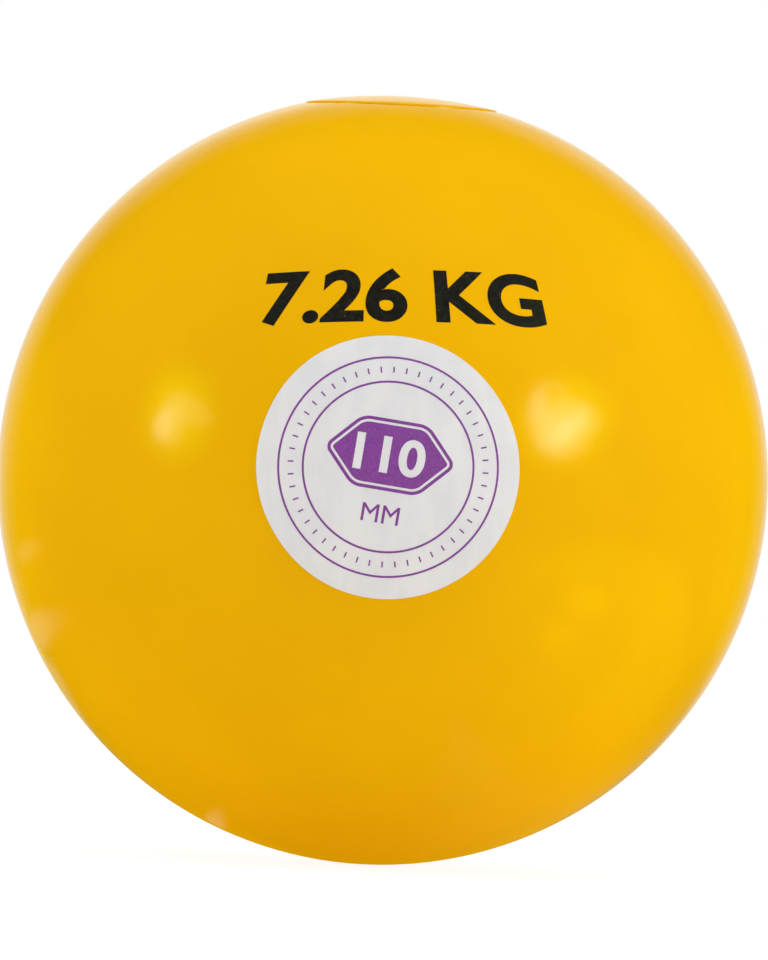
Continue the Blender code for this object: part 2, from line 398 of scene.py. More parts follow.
enamel = makeEnamel("yellow_enamel")
plugEnamel = makeEnamel("plug_yellow_enamel")
steel = makeSteel()
copper = makeCopper()
lead = makeLead()
felt = makeFelt()
film = makeFilm()
purpleInk = makePurpleInk()
blackInk = makeBlackInk()
print("finishes made")


# The screw thread, cut in the plug and in the ball's boss

thread = {
    "radius": 0.011,
    "pitch": 0.0015,
    "depthShare": 0.6,
    "crestShare": 0.125,
    "clearance": 0.00012,
    "length": 0.0072,
    "relief": 0.0006,
    "noseChamfer": 0.0006,
    "stepsPerTurn": 72,
    "cutMargin": 0.0001,      # how far the cutters reach past the metal
    "rootEase": 0.00001,      # how much is taken off each side of the plug's ridges
}
flankAngle = math.radians(30)
flank = math.tan(flankAngle)
threadDepth = thread["depthShare"] * thread["pitch"]
shankRadius = thread["radius"] - threadDepth
boreRadius = shankRadius + thread["clearance"]
threadTop = seatHeight - thread["relief"]
threadBottom = threadTop - thread["length"]
crestHalf = thread["crestShare"] * thread["pitch"] / 2
ridgeHalf = crestHalf + threadDepth * flank
ridgeStart = threadBottom + ridgeHalf


def cutHelix(name, inner, innerHalf, outer, outerHalf, start, turns):
    # a closed right-hand helix whose section is centred on the height start at +X
    corners = [(outer, start + outerHalf), (outer, start - outerHalf),
               (inner, start - innerHalf), (inner, start + innerHalf)]
    helix = drawSection(name, corners + corners[:1])
    openEdit(helix)
    bpy.ops.mesh.remove_doubles(threshold=mergeGap)
    closeEdit()
    screw = helix.modifiers.new("Helix", "SCREW")
    screw.angle = math.tau * turns
    screw.screw_offset = thread["pitch"] * turns
    screw.steps = round(thread["stepsPerTurn"] * turns)
    screw.render_steps = screw.steps
    screw.merge_threshold = mergeGap
    makeActive(helix)
    bpy.ops.object.modifier_apply(modifier="Helix")
    openEdit(helix)
    bpy.ops.mesh.fill_holes(sides=4)
    bpy.ops.mesh.select_all(action="SELECT")
    bpy.ops.mesh.normals_make_consistent(inside=False)
    closeEdit()
    return helix


# The ball's shell

ball = {
    "wall": 0.005,
    "columns": 192,
    "rows": 100,              # of the outer sphere, from the mouth to the lower pole
    "cavityRows": 44,
    "seatClearance": 0.0003,
    "lipWidth": 0.0010,       # the painted mouth's edge is rounded over this
    "lipDepth": 0.0004,
    "lipRows": 7,
    "paintGap": 0.0001,       # what paint on the mouth's edge leaves open round the plug
    "paintBead": 0.0003,      # how deep that paint is
    "paintDepth": 0.0006,     # how far paint reaches down the counterbore
    "edge": 0.0003,
    "bossRadius": 0.0162,
    "bossOverhang": 0.0008,
    "boreChamfer": 0.0006,
}
cavityRadius = ballRadius - ball["wall"]
seatRadius = headRadius + ball["seatClearance"]
bossBottom = noseHeight - ball["bossOverhang"]


def boreSection(paintFloor):
    # up the cavity, down round the boss, and up the bore and the counterbore to the paint
    edge = ball["edge"]
    chamferTop = thread["radius"] + ball["boreChamfer"]
    bossAngle = math.asin(ball["bossRadius"] / cavityRadius)
    section = arcPoints(cavityRadius, math.pi, bossAngle, ball["cavityRows"])
    section[0] = (0, -cavityRadius)
    return section + [
        (ball["bossRadius"], bossBottom + edge),
        (ball["bossRadius"] - edge, bossBottom),
        (boreRadius, bossBottom),
        (boreRadius, seatHeight - (chamferTop - boreRadius)),
        (chamferTop, seatHeight),
        (seatRadius - edge, seatHeight),
        (seatRadius, seatHeight + edge),
        (seatRadius, paintFloor),
    ]


def roundedMouth(mouthRadius):
    # from the edge of the mouth, up and out to the ball's own surface
    start = math.asin(mouthRadius / (ballRadius - ball["lipDepth"]))
    points = []
    for step in range(ball["lipRows"] + 1):
        turn = math.pi / 2 * step / ball["lipRows"]
        angle = start + ball["lipWidth"] / ballRadius * (1 - math.cos(turn))
        reach = ballRadius - ball["lipDepth"] * (1 - math.sin(turn))
        points.append((reach * math.sin(angle), reach * math.cos(angle)))
    return points, angle


def cutBoreThread(shell):
    turnsBelow = math.ceil((ridgeStart - bossBottom) / thread["pitch"]) + 1
    start = ridgeStart - turnsBelow * thread["pitch"]
    turns = math.ceil((seatHeight - start) / thread["pitch"]) + 1
    margin = thread["cutMargin"]
    crest = crestHalf + thread["clearance"] / math.cos(flankAngle)
    innerHalf = crest + (thread["radius"] - boreRadius + margin) * flank
    groove = cutHelix("bore_groove", boreRadius - margin, innerHalf,
                      thread["radius"] + thread["clearance"], crest, start, turns)
    cutWith(shell, groove)


def makeBallShell():
    mouthRadius = headRadius + ball["paintGap"]
    lip, mouthAngle = roundedMouth(mouthRadius)
    lipFoot = lip[0][1]
    paintFloor = lipFoot - ball["paintDepth"]
    section = boreSection(paintFloor)
    section.append((seatRadius, lipFoot - ball["paintBead"]))
    section.append((mouthRadius, lipFoot - ball["paintBead"] / 3))
    section += lip
    section += arcPoints(ballRadius, mouthAngle, math.pi, ball["rows"])[1:]
    section[-1] = (0, -ballRadius)
    shell = spinSection("ball_shell", section, ball["columns"])
    cutBoreThread(shell)
    shell.data.materials.clear()
    shell.data.materials.append(enamel)

    def isBare(middle):
        inside = middle.length < cavityRadius + nearby
        inBore = math.hypot(middle.x, middle.y) < seatRadius + nearby
        return inside or (inBore and 0 < middle.z < paintFloor)

    assignFinish(shell, steel, isBare)
    smoothByAngle(shell)
    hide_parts("shell")
    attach(shell, "ball")
    print("ball shell:", len(shell.data.polygons), "faces")


# The filling plug

plug = {
    "columns": 192,
    "crownRows": 24,
    "rimRows": 6,
    "rimProud": 0.00012,
    "rimRound": 0.0003,
    "seatEdge": 0.00015,
    "neckRadius": 0.01005,
    "neckFillet": 0.0003,
    "paintDepth": 0.0010,
    "holeRadius": 0.0015,
    "holeDepth": 0.0028,
    "holeSpacing": 0.016,
    "holeFlare": 0.0002,
    "holeFloorEdge": 0.0002,
    "holeColumns": 64,
    "holeAbove": 0.001,       # how far a hole's cutter stands out of the head
    "holeAside": 0.0003,      # and how much wider than the flare it is there
}
holeOffset = plug["holeSpacing"] / 2
neckChamfer = thread["radius"] - plug["neckRadius"]


def plugCrown():
    # the head's dome and its rounded rim, from the axis out
    rimHeight = math.sqrt(ballRadius ** 2 - headRadius ** 2) + plug["rimProud"]
    sagitta = plugHigh.z - rimHeight
    crownRadius = (headRadius ** 2 + sagitta ** 2) / (2 * sagitta)
    crownMiddle = plugHigh.z - crownRadius
    rim = plug["rimRound"]
    rimX = headRadius - rim
    rimZ = crownMiddle + math.sqrt((crownRadius - rim) ** 2 - rimX ** 2)
    rimAngle = math.asin(rimX / (crownRadius - rim))
    points = arcPoints(crownRadius, 0, rimAngle, plug["crownRows"], (0, crownMiddle))
    points[0] = (0, plugHigh.z)
    points += arcPoints(rim, rimAngle, math.pi / 2, plug["rimRows"], (rimX, rimZ))[1:]
    holeMouth = crownMiddle + math.sqrt(crownRadius ** 2 - holeOffset ** 2)
    return points, rimZ, holeMouth


def plugShank():
    # the seat, the neck and the blank for the thread, from the head in to the axis
    edge = plug["seatEdge"]
    neck = plug["neckRadius"]
    fillet = plug["neckFillet"]
    noseRadius = shankRadius - thread["noseChamfer"]
    return [
        (headRadius, headBottom + edge),
        (headRadius - edge, headBottom),
        (neck + fillet, headBottom),
        (neck, headBottom - fillet),
        (neck, threadTop + neckChamfer),
        (thread["radius"], threadTop),
        (thread["radius"], noseHeight + thread["radius"] - noseRadius),
        (noseRadius, noseHeight),
        (0, noseHeight),
    ]


def cutPlugThread(piece):
    # a groove of the thread's own depth leaves the ridges standing
    root = thread["pitch"] / 2 - ridgeHalf + thread["rootEase"]
    reach = threadDepth + thread["cutMargin"]
    start = ridgeStart + thread["pitch"] / 2 - 2 * thread["pitch"]
    turns = (threadTop + neckChamfer - start) / thread["pitch"]
    groove = cutHelix("plug_groove", shankRadius, root, shankRadius + reach, root + reach * flank,
                      start, turns)
    cutWith(piece, groove)


def cutSpannerHole(piece, x, mouth):
    flare = plug["holeFlare"]
    edge = plug["holeFloorEdge"]
    radius = plug["holeRadius"]
    wide = radius + flare + plug["holeAside"]
    floor = mouth - plug["holeDepth"]
    section = [
        (0, mouth + plug["holeAbove"]),
        (wide, mouth + plug["holeAbove"]),
        (wide, mouth + plug["holeAside"]),
        (radius + flare * 0.35, mouth - flare * 0.25),    # bends the flare
        (radius, mouth - flare),
        (radius, floor + edge),
        (radius - edge, floor),
        (0, floor),
    ]
    hole = spinSection("spanner_hole", section, plug["holeColumns"])
    movePiece(hole, x, 0, 0)
    cutWith(piece, hole)


def makePlug():
    section, rimHeight, holeMouth = plugCrown()
    paintFloor = rimHeight - plug["paintDepth"]
    section.append((headRadius, paintFloor))
    section += plugShank()
    made = spinSection("plug", section, plug["columns"])
    cutPlugThread(made)
    for side in (-1, 1):
        cutSpannerHole(made, side * holeOffset, holeMouth)
    made.data.materials.clear()
    made.data.materials.append(plugEnamel)

    def isBare(middle):
        fromHole = min(math.hypot(middle.x - side * holeOffset, middle.y) for side in (-1, 1))
        inHole = fromHole < plug["holeRadius"] + nearby
        inHole = inHole and middle.z > holeMouth - plug["holeDepth"] - nearby
        return middle.z < paintFloor and not inHole

    assignFinish(made, steel, isBare)
    smoothByAngle(made)
    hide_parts("filling_plug")
    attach(made, "plug")
    print("filling plug:", len(made.data.polygons), "faces")


# What lies under the plug's head and inside the ball

def roundedCorners(edge, *middles):
    # a quarter turn round each middle, the first one from straight up
    section = []
    for number, middle in enumerate(middles):
        start = math.pi / 2 * number
        section += arcPoints(edge, start, start + math.pi / 2, cornerSteps, middle)
    return section


def roundedRing(inner, outer, low, high, edge):
    section = roundedCorners(edge, (outer - edge, high - edge), (outer - edge, low + edge),
                             (inner + edge, low + edge), (inner + edge, high - edge))
    return section + section[:1]


def roundedDisc(radius, low, high, edge):
    section = roundedCorners(edge, (radius - edge, high - edge), (radius - edge, low + edge))
    return [(0, high)] + section + [(0, low)]


def finishPiece(piece, finish, body, node=None):
    piece.data.materials.clear()
    piece.data.materials.append(finish)
    smoothByAngle(piece)
    if node:
        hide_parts(node)
    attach(piece, body)


washer = {"boreClearance": 0.0002, "edge": 0.00022, "columns": 144}


def makeWasher():
    inner = thread["radius"] + washer["boreClearance"]
    section = roundedRing(inner, washerHigh.x, washerLow.z, washerHigh.z, washer["edge"])
    piece = spinSection("copper_washer", section, washer["columns"])
    finishPiece(piece, copper, "washer", "sealing_washer")


filling = {
    "gap": 0.0002,
    "columns": 144,
    "rows": 64,
    "pocketFloorGap": 0.0001,
    "edge": 0.0003,
}


def makeLeadCore():
    # the pocket under the plug, the recess round the boss, and the ball inside the shell
    coreRadius = cavityRadius - filling["gap"]
    recessRadius = ball["bossRadius"] + filling["gap"]
    recessFloor = bossBottom - filling["gap"]
    recessAngle = math.asin(recessRadius / coreRadius)
    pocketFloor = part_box("trim_disc_3")[0].z - filling["pocketFloorGap"]
    edge = filling["edge"]
    section = [
        (0, pocketFloor),
        (boreRadius - edge, pocketFloor),
        (boreRadius, pocketFloor + edge),
        (boreRadius, recessFloor - edge),
        (boreRadius + edge, recessFloor),
        (recessRadius - edge, recessFloor),
        (recessRadius, recessFloor + edge),
    ]
    section += arcPoints(coreRadius, recessAngle, math.pi, filling["rows"])
    section[-1] = (0, -coreRadius)
    core = spinSection("lead_fill", section, filling["columns"])
    finishPiece(core, lead, "ball", "lead_core")


looseStack = {"discCount": 3, "discEdge": 0.00025, "wadEdge": 0.0006, "columns": 96}


def makeLooseStack():
    for number in range(1, looseStack["discCount"] + 1):
        node = f"trim_disc_{number}"
        low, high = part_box(node)
        section = roundedDisc(high.x, low.z, high.z, looseStack["discEdge"])
        disc = spinSection(f"trim_lead_{number}", section, looseStack["columns"])
        finishPiece(disc, lead, "ball", node)
    section = roundedDisc(wadHigh.x, wadLow.z, wadHigh.z, looseStack["wadEdge"])
    wad = spinSection("felt_wad", section, looseStack["columns"])
    finishPiece(wad, felt, "ball", "packing_wad")


# The round film label and what is printed on it

label = {
    "radius": 0.0185,
    "under": 0.00001,         # above the paint
    "thickness": 0.00013,
    "rise": math.radians(1.9),
    "turn": math.radians(0.7),
    "columns": 240,
    "rows": 40,
    "tilt": math.radians(-6),  # of the print on it
    "inkGap": 0.000008,
    "inkThickness": 0.00002,
    "ringShares": (0.827, 0.639),
    "ringWidth": 0.00028,
    "flatTo": 0.72,            # share of the radius where the film starts to pucker
}
labelTurn = Vector((0, 0, 1)).rotation_difference(facing(label["turn"], label["rise"]))
filmTop = ballRadius + label["under"] + label["thickness"]
inkBottom = filmTop + label["inkGap"]
inkTop = inkBottom + label["inkThickness"]

# The film's rim isn't quite round where it was pressed down: degrees counterclockwise from its
# right side, half width in degrees, how far it reaches out, and how far it lifts
rimPuckers = (
    (128, 24, 0.00026, 0.00001),
    (148, 7, 0.00000, 0.00006),
    (104, 6, 0.00000, 0.00004),
    (38, 26, -0.00020, 0.00001),
    (62, 7, 0.00000, 0.00005),
    (12, 6, 0.00000, 0.00004),
    (322, 26, 0.00010, 0.00000),
    (296, 6, 0.00000, 0.00004),
    (244, 7, 0.00000, 0.00005),
    (216, 18, -0.00010, 0.00001),
    (192, 6, -0.00002, 0.00004),
)


def turnToFront(piece):
    piece.rotation_mode = "QUATERNION"
    piece.rotation_quaternion = labelTurn
    makeActive(piece)
    bpy.ops.object.transform_apply(location=False, rotation=True, scale=False)
    bpy.ops.object.select_all(action="DESELECT")


def puckerRim(piece):
    # the piece still lies round the top of the ball
    reach = label["radius"] / ballRadius
    for vertex in piece.data.vertices:
        away = Vector(vertex.co)
        polar = away.angle(Vector((0, 0, 1)))
        near = max(0.0, (polar / reach - label["flatTo"]) / (1 - label["flatTo"])) ** 2
        if near == 0:
            continue
        around = math.degrees(math.atan2(away.y, away.x)) % 360
        lift = 0.0
        push = 0.0
        for middle, halfWidth, outward, height in rimPuckers:
            apart = (around - middle + 180) % 360 - 180
            share = math.exp(-(apart / halfWidth) ** 2)
            push += outward * share
            lift += height * share
        across = Vector((away.x, away.y, 0)).normalized()
        moved = away + across * push * near
        vertex.co = moved.normalized() * (away.length + lift * near)


def makeFilmLabel():
    low = ballRadius + label["under"]
    reach = label["radius"] / ballRadius
    rounding = label["thickness"] / 3
    section = arcPoints(filmTop, 0, reach - rounding / ballRadius, label["rows"])
    section[0] = (0, filmTop)
    section += arcPoints(filmTop - rounding, reach - rounding / ballRadius / 4, reach, 1)
    section += arcPoints(low, reach, 0, label["rows"])
    section[-1] = (0, low)
    piece = spinSection("film_label", section, label["columns"])
    puckerRim(piece)
    turnToFront(piece)
    finishPiece(piece, film, "ball", "label")


def printRing(name, radius):
    near = (radius - label["ringWidth"] / 2) / ballRadius
    far = (radius + label["ringWidth"] / 2) / ballRadius
    section = arcPoints(inkTop, near, far, 1) + arcPoints(inkBottom, far, near, 1)
    ring = spinSection(name, section + section[:1], label["columns"])
    puckerRim(ring)
    turnToFront(ring)
    return ring


def flatBounds(piece):
    xs = [vertex.co.x for vertex in piece.data.vertices]
    ys = [vertex.co.y for vertex in piece.data.vertices]
    return (min(xs), min(ys)), (max(xs), max(ys))


def cutGrid(piece, spacing):
    # flat print is cut into small cells, so that it can follow the ball
    low, high = flatBounds(piece)
    openEdit(piece)
    for axis in (0, 1):
        normal = Vector((0, 0, 0))
        normal[axis] = 1
        count = math.floor((high[axis] - low[axis]) / spacing)
        for step in range(1, count + 1):
            bpy.ops.mesh.select_all(action="SELECT")
            spot = normal * (low[axis] + step * spacing)
            bpy.ops.mesh.bisect(plane_co=spot, plane_no=normal, threshold=0.0000001)
    closeEdit()


def thicken(piece, thickness):
    openEdit(piece, "FACE")
    bpy.ops.mesh.extrude_region_move(TRANSFORM_OT_translate={"value": (0, 0, thickness)})
    bpy.ops.mesh.select_all(action="SELECT")
    bpy.ops.mesh.normals_make_consistent(inside=False)
    closeEdit()


def typeWords(name, words, capHeight, width, bold):
    # built-in font, typed about a unit high, then set to a cap height and a width
    bpy.ops.object.text_add(location=(0, 0, 0))
    letters = bpy.context.object.data
    letters.body = words
    letters.size = 1.0
    letters.offset = bold
    letters.resolution_u = 8
    letters.fill_mode = "FRONT"
    bpy.ops.object.convert(target="MESH")
    piece = nameActive(name)
    openEdit(piece)
    bpy.ops.mesh.remove_doubles(threshold=0.0001)
    closeEdit()
    low, high = flatBounds(piece)
    middle = Vector(((low[0] + high[0]) / 2, (low[1] + high[1]) / 2, 0))
    stretch = (width / (high[0] - low[0]), capHeight / (high[1] - low[1]), 1)
    openEdit(piece)
    bpy.ops.transform.translate(value=-middle)
    bpy.ops.transform.resize(value=stretch, center_override=(0, 0, 0))
    closeEdit()
    return piece


def wrapOnLabel(piece, turn):
    # the flat print's height becomes height above the film, and its middle the label's
    for vertex in piece.data.vertices:
        x, y, z = vertex.co
        polar = math.hypot(x, y) / ballRadius
        angle = math.atan2(y, x) + turn
        around = Vector((math.sin(polar) * math.cos(angle), math.sin(polar) * math.sin(angle)))
        vertex.co = Vector((around.x, around.y, math.cos(polar))) * (inkBottom + z)
    puckerRim(piece)
    turnToFront(piece)


badge = {
    "halfWidth": 0.0092,
    "flatness": 0.62,
    "corner": 0.0011,
    "cornerRows": 6,
    "frame": 0.00045,
    "channel": 0.00035,
    "rise": 0.0016,
    "numbers": "110",
    "numberHeight": 0.0052,
    "numberWidth": 0.0098,
    "numberBold": 0.03,
    "unit": "MM",
    "unitHeight": 0.0025,
    "unitWidth": 0.0052,
    "unitDrop": 0.0082,
    "cell": 0.001,
}


def openHexagon(name):
    # a flat hexagon with two corners to the sides, left open in edit mode
    bpy.ops.mesh.primitive_circle_add(vertices=6, radius=badge["halfWidth"], fill_type="NGON")
    piece = nameActive(name)
    openEdit(piece, "FACE")
    bpy.ops.transform.rotate(value=math.pi / 6, orient_axis="Z", center_override=(0, 0, 0))
    bpy.ops.transform.resize(value=(1, badge["flatness"], 1), center_override=(0, 0, 0))
    bpy.ops.mesh.bevel(offset=badge["corner"], segments=badge["cornerRows"], affect="VERTICES")
    return piece


def makeBadge():
    border = openHexagon("badge_border")
    bpy.ops.mesh.inset(thickness=badge["frame"])
    bpy.ops.mesh.delete(type="FACE")
    closeEdit()
    plate = openHexagon("badge_plate")
    bpy.ops.mesh.inset(thickness=badge["frame"] + badge["channel"])
    bpy.ops.mesh.select_all(action="INVERT")
    bpy.ops.mesh.delete(type="FACE")
    closeEdit()
    thicken(plate, label["inkThickness"])
    numbers = typeWords("badge_numbers", badge["numbers"], badge["numberHeight"],
                        badge["numberWidth"], badge["numberBold"])
    # the numbers are cut out of the plate, so they reach past both its sides
    thicken(numbers, label["inkThickness"] * 3)
    movePiece(numbers, 0, 0, -label["inkThickness"])
    cutWith(plate, numbers)
    thicken(border, label["inkThickness"])
    unit = typeWords("badge_unit", badge["unit"], badge["unitHeight"], badge["unitWidth"], 0.0)
    thicken(unit, label["inkThickness"])
    movePiece(unit, 0, -badge["unitDrop"], 0)
    parts = [border, plate, unit]
    for piece in parts:
        cutGrid(piece, badge["cell"])
        movePiece(piece, 0, badge["rise"], 0)
        wrapOnLabel(piece, label["tilt"])
    return parts


ticks = {"count": 48, "length": 0.00085, "width": 0.0002, "radius": 0.01356, "corner": 0.00008}


def makeTicks():
    bpy.ops.mesh.primitive_plane_add(size=1)
    first = nameActive("label_tick")
    openEdit(first, "FACE")
    bpy.ops.transform.resize(value=(ticks["length"], ticks["width"], 1), center_override=(0, 0, 0))
    bpy.ops.mesh.bevel(offset=ticks["corner"], segments=3, affect="VERTICES")
    closeEdit()
    thicken(first, label["inkThickness"])
    movePiece(first, ticks["radius"], 0, 0)
    made = []
    for number in range(ticks["count"]):
        tick = first.copy()
        tick.data = first.data.copy()
        bpy.context.scene.collection.objects.link(tick)
        wrapOnLabel(tick, math.tau * number / ticks["count"])
        made.append(tick)
    bpy.data.objects.remove(first, do_unlink=True)
    return made


def joinPieces(name, pieces):
    bpy.ops.object.select_all(action="DESELECT")
    for piece in pieces:
        piece.select_set(True)
    bpy.context.view_layer.objects.active = pieces[0]
    bpy.ops.object.join()
    joined = nameActive(name)
    bpy.ops.object.select_all(action="DESELECT")
    return joined


def makeLabelPrint():
    rings = [printRing(f"ring_{number}", label["radius"] * share)
             for number, share in enumerate(label["ringShares"])]
    groups = {
        "label_rings": rings,
        "label_ticks": makeTicks(),
        "label_badge": makeBadge(),
    }
    for name, pieces in groups.items():
        finishPiece(joinPieces(name, pieces), purpleInk, "ball")


# The black weight mark above the label

weightMark = {
    "words": "7.26 KG",
    "capHeight": 0.0086,
    "width": 0.0396,
    "rise": math.radians(27.8),
    "turn": math.radians(2.1),
    "tilt": math.radians(2.5),
    "bow": 0.0008,            # the ends hang this much below the middle
    "bold": 0.032,
    "cell": 0.001,
    "gap": 0.000006,
    "thickness": 0.00002,
}


def makeWeightMark():
    mark = weightMark
    piece = typeWords("weight_mark", mark["words"], mark["capHeight"], mark["width"], mark["bold"])
    cutGrid(piece, mark["cell"])
    thicken(piece, mark["thickness"])
    cosTilt = math.cos(mark["tilt"])
    sinTilt = math.sin(mark["tilt"])
    for vertex in piece.data.vertices:
        x, y, z = vertex.co
        y -= mark["bow"] * (2 * x / mark["width"]) ** 2
        right = x * cosTilt - y * sinTilt
        up = x * sinTilt + y * cosTilt
        rise = mark["rise"] + up / ballRadius
        turn = mark["turn"] + right / (ballRadius * math.cos(mark["rise"]))
        vertex.co = facing(turn, rise) * (ballRadius + mark["gap"] + z)
    finishPiece(piece, blackInk, "ball")


makeBallShell()
makePlug()
makeWasher()
makeLeadCore()
makeLooseStack()
print("ball and plug made")
makeFilmLabel()
makeLabelPrint()
makeWeightMark()
print("label and prints made")


# Camera, floor and light

cameraSetup = {
    "distance": 1.5015,
    "lens": 394.1,
    "roll": math.radians(2.85),    # the shot stands turned clockwise in the picture
    "aim": Vector((0.000186, 0, -0.00004)),
}


def placeCamera():
    place = Vector((0, -cameraSetup["distance"], 0))
    bpy.ops.object.camera_add(location=place)
    camera = bpy.context.object
    camera.name = "camera"
    camera.data.lens = cameraSetup["lens"]
    camera.data.sensor_width = 36
    camera.data.clip_start = 0.01
    camera.data.clip_end = 50
    look = (cameraSetup["aim"] - place).to_track_quat("-Z", "Y")
    camera.rotation_mode = "QUATERNION"
    camera.rotation_quaternion = look @ Quaternion((0, 0, 1), cameraSetup["roll"])
    bpy.context.scene.camera = camera


# What the gloss mirrors: a white backdrop behind the ball, in a dark room. Angles in degrees
backdrop = {
    "middle": (-2, 5),       # right of straight behind, and up
    "full": 2,
    "edge": 39,
    "level": 0.82,
    "wave": 6,               # how far its edge swings in and out
    "waveScale": 3.2,
}


def rayKinds(tree):
    # rays from the camera, rays that gloss mirrors, and those with rays that pass through
    path = newNode(tree, "LightPath")
    mirrored = path.outputs["Is Glossy Ray"]
    gloss = combine(tree, "MAXIMUM", mirrored, path.outputs["Is Transmission Ray"])
    return path.outputs["Is Camera Ray"], mirrored, gloss


def mirroredBackdrop(tree, direction, shade=1.0):
    turn, rise = (math.radians(angle) for angle in backdrop["middle"])
    middle = (math.sin(turn) * math.cos(rise), math.cos(turn) * math.cos(rise), math.sin(rise))
    ray = combineVectors(tree, "NORMALIZE", direction)
    angle = combine(tree, "ARCCOSINE", combineVectors(tree, "DOT_PRODUCT", ray, middle))
    wave = math.radians(backdrop["wave"])
    swing = remap(tree, noiseField(tree, ray, backdrop["waveScale"], 2), *noiseSpan, -wave / 2, wave / 2)
    angle = combine(tree, "ADD", angle, swing)
    white = remap(tree, angle, math.radians(backdrop["full"]), math.radians(backdrop["edge"]),
                  backdrop["level"], 0)
    return combine(tree, "MULTIPLY", white, shade)


# The gloss also takes a yellow glow from both sides, behind the ball and low
sideGlow = {
    "level": 0.42,
    "across": (0.15, 0.5),
    "behind": (0.3, 0.75),
    "height": -0.1,
    "halfHeight": (0.2, 0.45),
}
glowColour = (1.0, 0.82, 0.0)


def mirroredSideGlow(tree, direction):
    along = newNode(tree, "SeparateXYZ", {0: combineVectors(tree, "NORMALIZE", direction)})
    aside = combine(tree, "ABSOLUTE", along.outputs["X"])
    rise = combine(tree, "SUBTRACT", along.outputs["Z"], sideGlow["height"])
    rise = combine(tree, "ABSOLUTE", rise)
    glow = remap(tree, aside, *sideGlow["across"], 0, sideGlow["level"])
    glow = combine(tree, "MULTIPLY", glow, remap(tree, along.outputs["Y"], *sideGlow["behind"], 0, 1))
    return combine(tree, "MULTIPLY", glow, remap(tree, rise, *sideGlow["halfHeight"], 1, 0))


floorSetup = {
    "size": 6.0,
    "glow": 0.90,            # as the camera sees it, before what the light adds
    "patchCore": 0.35,       # the share of a card or a glint that is as bright as its middle
    "shadowShare": 0.17,
    "bounce": (0.32, 0.56),  # what it gives the ball, in front and behind, before what the light adds
    "bounceReach": 0.10,
    "bounceColour": (1.0, 0.93, 0.86),   # warmed by the ball
    "cloth": (0.55, 0.53, 0.50),
    "shadeEnd": 0.25,        # nearer the ball than this the gloss mirrors its shade
    "rayStart": (0.02, -0.05, 0),     # where the mirrored rays leave the ball, from the floor's middle
    "paintedBounceLevel": 0.65,       # painted bounce light in the ball's own colour on the floor under it
    "paintedBounceReach": 0.14,
    "paintedBounceColour": (1.0, 0.5, 0.0),
    "paintedReflections": (               # painted reflections, pale patches on the floor that only the gloss shows: middle, half size, level
        (-0.112, 0.125, 0.020, 0.12, 0.27),
        (-0.220, 0.19, 0.038, 0.11, 0.15),
        (-0.0237, 0.006, 0.0026, 0.018, 0.16),
        (-0.072, 0.13, 0.028, 0.075, 0.24),
    ),
    "glints": (              # the same in the glow's colour
        (0.16, -0.06, 0.16, 0.12, 1.0),
        (0.107, -0.066, 0.034, 0.022, 2.2),
        (0.070, -0.061, 0.018, 0.014, 1.7),
    ),
}


def softPatch(tree, spot, x, y, halfWidth, halfDepth, level):
    aside = combineVectors(tree, "SUBTRACT", spot, (x, y, 0))
    share = combineVectors(tree, "DIVIDE", aside, (halfWidth, halfDepth, 1))
    reach = combineVectors(tree, "LENGTH", share)
    return remap(tree, reach, floorSetup["patchCore"], 1, level, 0)


def floorMirror(tree, spot, away):
    # what the gloss finds on the floor: white from the backdrop and the painted reflection patches, and
    # the painted glow
    shade = remap(tree, away, 0, floorSetup["shadeEnd"], 0, 1)
    ray = combineVectors(tree, "SUBTRACT", spot, floorSetup["rayStart"])
    white = mirroredBackdrop(tree, ray, shade)
    for paintedReflection in floorSetup["paintedReflections"]:
        white = combine(tree, "MAXIMUM", white, softPatch(tree, spot, *paintedReflection))
    glint = combine(tree, "MULTIPLY", mirroredSideGlow(tree, ray), shade)
    for patch in floorSetup["glints"]:
        glint = combine(tree, "MAXIMUM", glint, softPatch(tree, spot, *patch))
    return white, glint


def makeFloor():
    bpy.ops.mesh.primitive_plane_add(size=floorSetup["size"], location=(0, 0, -ballRadius))
    floor = bpy.context.object
    floor.name = "floor"
    finish = bpy.data.materials.new("pale_floor")
    finish.use_nodes = True
    tree = finish.node_tree
    tree.nodes.clear()
    camera, mirrored, gloss = rayKinds(tree)
    spot = newNode(tree, "TexCoord").outputs["Object"]
    away = combineVectors(tree, "LENGTH", spot)
    white, glint = floorMirror(tree, spot, away)
    # plain light: what the camera sees, what the gloss mirrors, or what lights the ball from below
    along = newNode(tree, "SeparateXYZ", {0: spot}).outputs["Y"]
    bounce = remap(tree, along, -floorSetup["bounceReach"], floorSetup["bounceReach"],
                   *floorSetup["bounce"])
    strength = mixValues(tree, camera, mixValues(tree, gloss, bounce, white), floorSetup["glow"])
    seen = combine(tree, "MAXIMUM", camera, gloss)
    tint = blendColour(tree, seen, floorSetup["bounceColour"], (1, 1, 1))
    total = newNode(tree, "Emission", {"Color": tint, "Strength": strength}).outputs[0]
    # the cloth itself, which takes the ball's shadow
    cloth = blendColour(tree, gloss, floorSetup["cloth"], (0, 0, 0))
    cloth = blendColour(tree, camera, cloth, (floorSetup["shadowShare"],) * 3)
    matt = newNode(tree, "BsdfDiffuse", {"Color": cloth}).outputs[0]
    total = newNode(tree, "AddShader", {0: total, 1: matt}).outputs[0]
    # painted bounce light in the ball's colour under it, and the painted glow, in the gloss alone
    paintedBounce = remap(tree, away, 0, floorSetup["paintedBounceReach"], floorSetup["paintedBounceLevel"], 0)
    for colour, level in ((floorSetup["paintedBounceColour"], paintedBounce), (glowColour, glint)):
        level = combine(tree, "MULTIPLY", level, mirrored)
        light = newNode(tree, "Emission", {"Color": (*colour, 1), "Strength": level}).outputs[0]
        total = newNode(tree, "AddShader", {0: total, 1: light}).outputs[0]
    newNode(tree, "OutputMaterial", {0: total})
    floor.data.materials.append(finish)


